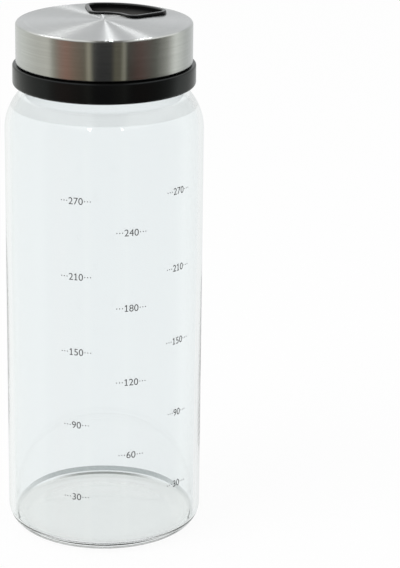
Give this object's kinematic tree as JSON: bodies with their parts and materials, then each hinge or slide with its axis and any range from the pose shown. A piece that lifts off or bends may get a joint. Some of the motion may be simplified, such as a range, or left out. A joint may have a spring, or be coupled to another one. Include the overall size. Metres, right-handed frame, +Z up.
{
  "type": "salt and seasoning shaker jar",
  "caption": "Clear glass seasoning shaker with a printed volume scale, a black screw collar and a brushed steel dial that turns a framed window over a hidden sifter plate.",
  "frame": {"origin": "centre of the flat ring that the jar stands on", "axes": "+Z up along the jar's axis; -Y is the side with the middle of the printed scale, +X to its right"},
  "size_m": [0.06, 0.06, 0.1608],
  "materials": {
    "clear_glass": "clear, polished",
    "white_silicone": "matte",
    "black_plastic": "satin",
    "brushed_steel": "fine circular brushing"
  },
  "bodies": {
    "jar": {"glass_jar": "clear_glass"},
    "seal": {"neck_gasket": "white_silicone"},
    "collar": {"screw_collar": "black_plastic", "sifter_plate": "black_plastic", "dial_seal": "white_silicone"},
    "dial": {"rotor_cap": "black_plastic", "steel_shell": "brushed_steel", "window_bezel": "black_plastic"}
  },
  "joints": [
    {"name": "lid_lift", "type": "slide", "parent": "jar", "child": "seal", "axis": [0, 0, 1], "range_m": [0, 0.01201]},
    {"name": "lid_unscrew", "type": "hinge", "parent": "seal", "child": "collar", "pos_m": [0, 0, 0.153], "axis": [0, 0, 1], "range_deg": [0, 1080]},
    {"name": "dial_turn", "type": "hinge", "parent": "collar", "child": "dial", "pos_m": [0, 0, 0.1573], "axis": [0, 0, 1], "continuous": true}
  ],
  "couplings": [
    {"joint": "lid_lift", "follows": "lid_unscrew", "m_per_rad": 0.00063662}
  ]
}
